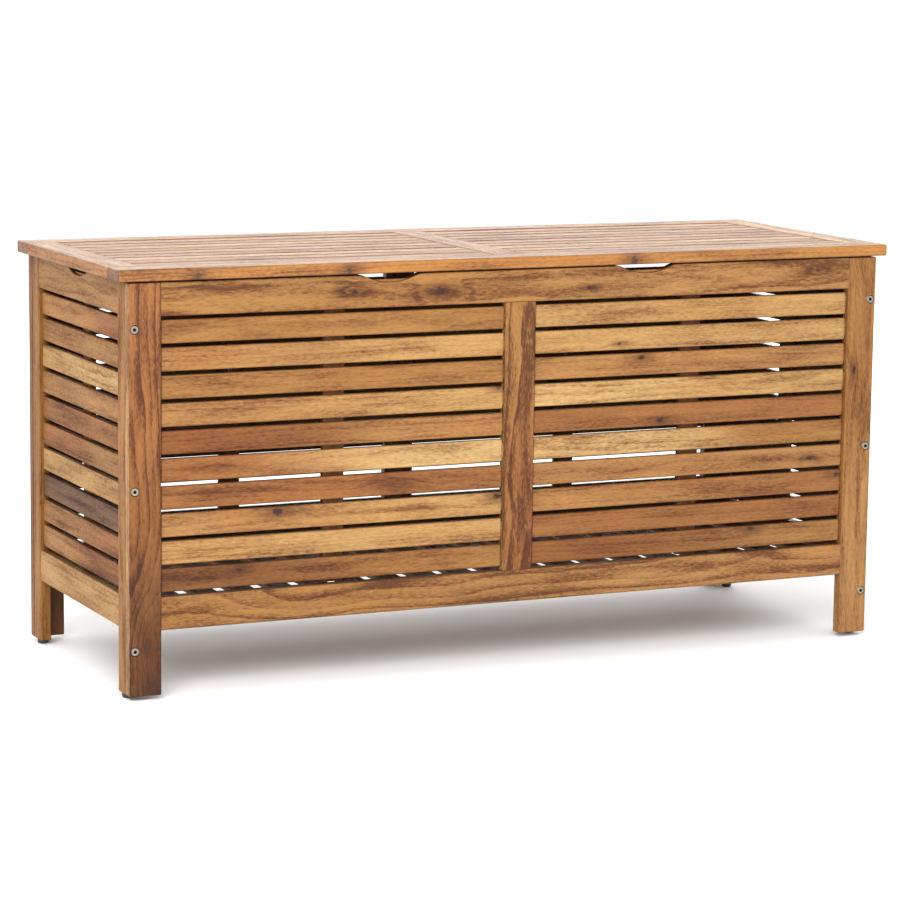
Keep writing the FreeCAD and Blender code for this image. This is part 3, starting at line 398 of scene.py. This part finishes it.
frontLeftSlats = {
    "axes": "xzy", "count": 10, "seed": 3.0,
    "tones": [("walnut", "amber"), ("straw", "straw"), ("honey", "straw"), ("copper", "copper"),
              ("copper", "sapwood"), ("russet", "honey"), ("honey", "straw"), ("amber", "amber"),
              ("honey", "straw"), ("amber", "amber")],
    "knots": [(-0.207, 0.302, 0.0070, 0.0, 0.8), (-0.397, 0.270, 0.0062, 1.0, 0.9),
              (-0.035, 0.271, 0.0050, 1.0, 0.9),
              (-0.035, 0.439, 0.0036, 0.8, 0.8), (-0.460, 0.185, 0.0042, 0.9, 0.8)],
}
frontRightSlats = {
    "axes": "xzy", "count": 10, "seed": 8.0,
    "tones": [("russet", "amber"), ("copper", "copper"), ("honey", "copper"), ("honey", "honey"),
              ("sapwood", "amber"), ("copper", "copper"), ("sapwood", "straw"), ("honey", "honey"),
              ("straw", "straw"), ("straw", "straw")],
    "knots": [(0.212, 0.475, 0.0050, 1.0, 0.9), (0.173, 0.498, 0.0032, 0.8, 0.8),
              (0.248, 0.374, 0.0050, 1.0, 0.9),
              (0.522, 0.299, 0.0042, 0.9, 0.8), (0.573, 0.269, 0.0042, 0.9, 0.8),
              (0.417, 0.191, 0.0044, 0.9, 0.8)],
}
sideTones = [("russet", "honey"), ("copper", "amber"), ("umber", "umber"), ("straw", "straw"),
             ("amber", "copper"), ("copper", "copper"), ("honey", "amber"), ("sapwood", "straw"),
             ("amber", "amber"), ("copper", "honey")]
rearTones = even("amber", "honey", "copper", "straw", "amber",
                 "honey", "russet", "honey", "straw", "copper")
lidTones = even("honey", "amber", "straw", "copper", "honey", "amber", "straw", "honey", "amber")
floorTones = even("amber", "honey", "copper", "amber", "straw") * 4

boards = {
    "front_slats_left": frontLeftSlats,
    "front_slats_right": frontRightSlats,
    "front_top_rail": {"axes": "xzy", "seed": 12.0, "tones": [("amber", "honey")], "ring": 0.006,
                       "bands": 0.36, "bold": 1.3,
                       "knots": [(-0.278, 0.595, 0.0045, 1.0, 1.0), (-0.137, 0.592, 0.0065, 0.9, 1.0),
                                 (0.118, 0.589, 0.0034, 0.8, 0.8), (0.525, 0.602, 0.0034, 0.7, 0.8)]},
    "front_bottom_rail": {"axes": "xzy", "seed": 21.0, "tones": [("amber", "honey")], "ring": 0.009,
                          "sweep": 0.07, "bands": 0.38, "bold": 1.25},
    "front_stile_left": {"axes": "zxy", "seed": 5.0, "tones": [("walnut", "copper")],
                         "bands": 0.34, "bold": 1.4,
                         "edge": "straw",
                         "knots": [(0.080, -0.605, 0.0085, 0.5, 1.0), (0.014, -0.594, 0.022, 0.62, 1.0),
                                   (0.050, -0.590, 0.012, 0.0, 1.0)]},
    "front_stile_right": {"axes": "zxy", "seed": 17.0, "tones": [("honey", "amber")],
                          "knots": [(0.439, 0.598, 0.0044, 1.0, 0.9)], "bands": 0.24},
    "front_centre_stile": {"axes": "zxy", "seed": 41.0, "tones": [("copper", "amber")], "ring": 0.008,
                           "sweep": 0.05, "bands": 0.42, "bold": 1.5, "edge": "straw"},
    # painted shade: the front battens take the dark walnut tone for the shadow behind the front slats
    "front_batten_left": {"axes": "zxy", "seed": 51.0, "tones": even("walnut")},
    "front_batten_right": {"axes": "zxy", "seed": 52.0, "tones": even("walnut")},
    "rear_slats_left": {"axes": "xzy", "count": 10, "seed": 61.0, "tones": rearTones},
    "rear_slats_right": {"axes": "xzy", "count": 10, "seed": 62.0, "tones": rearTones[::-1]},
    "rear_top_rail": {"axes": "xzy", "seed": 63.0, "tones": even("honey")},
    "rear_bottom_rail": {"axes": "xzy", "seed": 64.0, "tones": even("amber")},
    "rear_stile_left": {"axes": "zxy", "seed": 65.0, "tones": even("amber")},
    "rear_stile_right": {"axes": "zxy", "seed": 66.0, "tones": even("copper")},
    "rear_centre_stile": {"axes": "zxy", "seed": 67.0, "tones": even("honey")},
    "rear_batten_left": {"axes": "zxy", "seed": 68.0, "tones": even("amber")},
    "rear_batten_right": {"axes": "zxy", "seed": 69.0, "tones": even("honey")},
    "floor_slats": {"axes": "yxz", "count": 20, "seed": 71.0, "tones": floorTones},
    "floor_ledger_front": {"axes": "xyz", "seed": 72.0, "tones": even("amber")},
    "floor_ledger_rear": {"axes": "xyz", "seed": 73.0, "tones": even("honey")},
    "lid_front_rail": {"axes": "xyz", "seed": 81.0, "tones": even("honey"), "edge": "ginger",
                       "knots": [(-0.528, -0.240, 0.0032, 0.6, 0.9, 0.628),
                                 (-0.288, -0.240, 0.0036, 0.7, 1.0, 0.628),
                                 (0.191, -0.240, 0.0040, 0.9, 0.9, 0.628)]},
    "lid_rear_rail": {"axes": "xyz", "seed": 82.0, "tones": even("honey"), "edge": "ginger"},
    "lid_left_rail": {"axes": "yxz", "seed": 83.0, "tones": even("honey"), "edge": "ginger"},
    "lid_right_rail": {"axes": "yxz", "seed": 84.0, "tones": even("straw"), "edge": "ginger"},
    "lid_centre_rail": {"axes": "yxz", "seed": 85.0, "tones": even("honey")},
    "lid_slats_left": {"axes": "xyz", "count": 9, "seed": 86.0, "tones": lidTones},
    "lid_slats_right": {"axes": "xyz", "count": 9, "seed": 87.0, "tones": lidTones[::-1]},
    "lid_batten_left": {"axes": "yxz", "seed": 88.0, "tones": even("amber")},
    "lid_batten_right": {"axes": "yxz", "seed": 89.0, "tones": even("honey")},
}
for number, side in enumerate(("left_side", "right_side")):
    seed = 91.0 + 10 * number
    boards[side + "_slats"] = {"axes": "yzx", "count": 10, "seed": seed,
                               "tones": sideTones if number == 0 else sideTones[::-1]}
    boards[side + "_top_rail"] = {"axes": "yzx", "seed": seed + 1, "tones": even("honey")}
    boards[side + "_bottom_rail"] = {"axes": "yzx", "seed": seed + 2, "tones": even("straw")}
    boards[side + "_post_front"] = {"axes": "zyx", "seed": seed + 3, "tones": even("honey")}
    boards[side + "_post_rear"] = {"axes": "zyx", "seed": seed + 4, "tones": even("amber")}
    boards[side + "_batten"] = {"axes": "zyx", "seed": seed + 5, "tones": even("amber")}


for name, board in boards.items():
    # which way along the depth axis the inside of the box lies
    board["inside"] = "-" if name.startswith(("rear", "right", "lid")) else "+"
    # painted shade on inward faces, and on the narrow gap edges of slats and of rails other than the lid's;
    # lid boards and front stiles shade only faces turned nearly straight inwards
    board["bareEdges"] = "slats" in name or "rail" in name and not name.startswith("lid")
    onLid = name.startswith("lid")
    unshadedEdges = onLid or name.startswith("front") and "stile" in name
    board["bareFrom"] = 0.05 if unshadedEdges else -0.35
    board["sheen"] = 0.5 if onLid else 0.12 if "side" in name else 0.28


def dress(piece, material):
    # the node keeps its slots; each one gets the new material
    if not piece.material_slots:
        piece.data.materials.append(material)
    for slot in piece.material_slots:
        slot.material = material


for node, board in boards.items():
    dress(nodes[node], hardwood(node, board))
print("hardwood laid on", len(boards), "nodes")


steelLook = {"colour": (0.34, 0.32, 0.27), "darker": (0.22, 0.20, 0.16), "roughness": (0.30, 0.46)}
plasticLook = {"colour": (0.020, 0.020, 0.021), "worn": (0.060, 0.058, 0.055), "roughness": (0.42, 0.62)}


def platedSteel():
    material = bpy.data.materials.new("zincPlatedSteel")
    material.use_nodes = True
    tree = material.node_tree
    shader = tree.nodes["Principled BSDF"]
    place = tree.nodes.new("ShaderNodeTexCoord").outputs["Object"]
    blotch = spread(tree, cloud(tree, place, 260.0, 3.0), 0.42, 0.70)
    scratch = cloud(tree, stretched(tree, place, (900.0, 900.0, 2600.0)), 1.0, 1.0)
    plating = blendColour(tree, calc(tree, "MULTIPLY", blotch, 0.6), (*steelLook["colour"], 1.0),
                          (*steelLook["darker"], 1.0))
    # painted shade: ambient occlusion darkens sockets, slots and corners to near black
    hollow = tree.nodes.new("ShaderNodeAmbientOcclusion")
    hollow.samples = 8
    hollow.only_local = True
    hollow.inputs["Distance"].default_value = 0.006
    recessShade = spread(tree, hollow.outputs["AO"], 0.92, 0.55)
    feed(tree, shader.inputs["Base Color"], blendColour(tree, recessShade, plating, (0.012, 0.010, 0.008, 1.0)))
    shader.inputs["Metallic"].default_value = 1.0
    smoothest, roughest = steelLook["roughness"]
    worn = calc(tree, "ADD", calc(tree, "MULTIPLY", blotch, 0.5), calc(tree, "MULTIPLY", scratch, 0.5))
    feed(tree, shader.inputs["Roughness"], spread(tree, worn, 0.2, 0.8, smoothest, roughest))
    bump = tree.nodes.new("ShaderNodeBump")
    bump.inputs["Strength"].default_value = 0.04
    bump.inputs["Distance"].default_value = 0.0001
    feed(tree, bump.inputs["Height"], scratch)
    feed(tree, shader.inputs["Normal"], bump.outputs["Normal"])
    return material


def blackPlastic():
    material = bpy.data.materials.new("blackPlastic")
    material.use_nodes = True
    tree = material.node_tree
    shader = tree.nodes["Principled BSDF"]
    place = tree.nodes.new("ShaderNodeTexCoord").outputs["Object"]
    speckle = cloud(tree, place, 1400.0, 2.0)
    scuff = spread(tree, cloud(tree, place, 180.0, 4.0), 0.50, 0.75)
    feed(tree, shader.inputs["Base Color"],
         blendColour(tree, scuff, (*plasticLook["colour"], 1.0), (*plasticLook["worn"], 1.0)))
    smoothest, roughest = plasticLook["roughness"]
    feed(tree, shader.inputs["Roughness"], spread(tree, speckle, 0.3, 0.7, smoothest, roughest))
    bump = tree.nodes.new("ShaderNodeBump")
    bump.inputs["Strength"].default_value = 0.3
    bump.inputs["Distance"].default_value = 0.0002
    feed(tree, bump.inputs["Height"], speckle)
    feed(tree, shader.inputs["Normal"], bump.outputs["Normal"])
    return material


steel = platedSteel()
plastic = blackPlastic()
for name, piece in nodes.items():
    if name.startswith("foot_"):
        dress(piece, plastic)
    elif name not in boards:
        dress(piece, steel)
print("steel and plastic laid on")


studio = {
    "floorReach": 90.0, "floorShade": 0.90,
    "skyStrength": 1.16, "skyColour": (1.0, 1.0, 1.0),
    # power, size, place and aim of each soft box; the one behind only shows in the lid's sheen
    "lights": {
        "keyLight": (210.0, (3.0, 2.0), (-2.2, -3.4, 2.6), (0.0, 0.0, 0.35)),
        "backLight": (120.0, (6.0, 2.6), (1.2, 4.2, 1.5), (0.0, 0.0, 0.5)),
    },
}


def makeFloor():
    shape = bmesh.new()
    bmesh.ops.create_grid(shape, x_segments=1, y_segments=1, size=studio["floorReach"])
    mesh = bpy.data.meshes.new("studioFloor")
    shape.to_mesh(mesh)
    shape.free()
    floor = bpy.data.objects.new("studioFloor", mesh)
    bpy.context.scene.collection.objects.link(floor)
    material = bpy.data.materials.new("paleFloor")
    material.use_nodes = True
    shader = material.node_tree.nodes["Principled BSDF"]
    shader.inputs["Base Color"].default_value = (studio["floorShade"],) * 3 + (1.0,)
    shader.inputs["Roughness"].default_value = 0.9
    shader.inputs["Specular IOR Level"].default_value = 0.1
    floor.data.materials.append(material)


def makeLights():
    world = bpy.data.worlds.new("studioSky")
    world.use_nodes = True
    sky = world.node_tree.nodes["Background"]
    sky.inputs["Color"].default_value = (*studio["skyColour"], 1.0)
    sky.inputs["Strength"].default_value = studio["skyStrength"]
    bpy.context.scene.world = world
    for name, (power, size, place, aim) in studio["lights"].items():
        light = bpy.data.lights.new(name, "AREA")
        light.shape = "RECTANGLE"
        light.energy = power
        light.size, light.size_y = size
        lamp = bpy.data.objects.new(name, light)
        lamp.location = place
        lamp.rotation_euler = (Vector(aim) - Vector(place)).to_track_quat("-Z", "Y").to_euler()
        lamp.visible_camera = False
        bpy.context.scene.collection.objects.link(lamp)


cameraSetup = {"place": (-2.214, -4.710, 1.132), "turn": 25.10, "down": 9.016, "roll": 0.73, "lens": 131.5}


def makeCamera():
    lens = bpy.data.cameras.new("studioCamera")
    lens.lens = cameraSetup["lens"]
    lens.sensor_width = 36.0
    lens.clip_end = 400.0
    camera = bpy.data.objects.new("studioCamera", lens)
    aim = Euler((math.radians(90 - cameraSetup["down"]), 0.0, -math.radians(cameraSetup["turn"])))
    roll = Matrix.Rotation(math.radians(cameraSetup["roll"]), 3, "Z")
    camera.rotation_euler = (aim.to_matrix() @ roll).to_euler()
    camera.location = cameraSetup["place"]
    bpy.context.scene.collection.objects.link(camera)
    bpy.context.scene.camera = camera


makeFloor()
makeLights()
makeCamera()
bpy.context.scene.view_settings.view_transform = "Standard"
print("floor, light and camera ready")
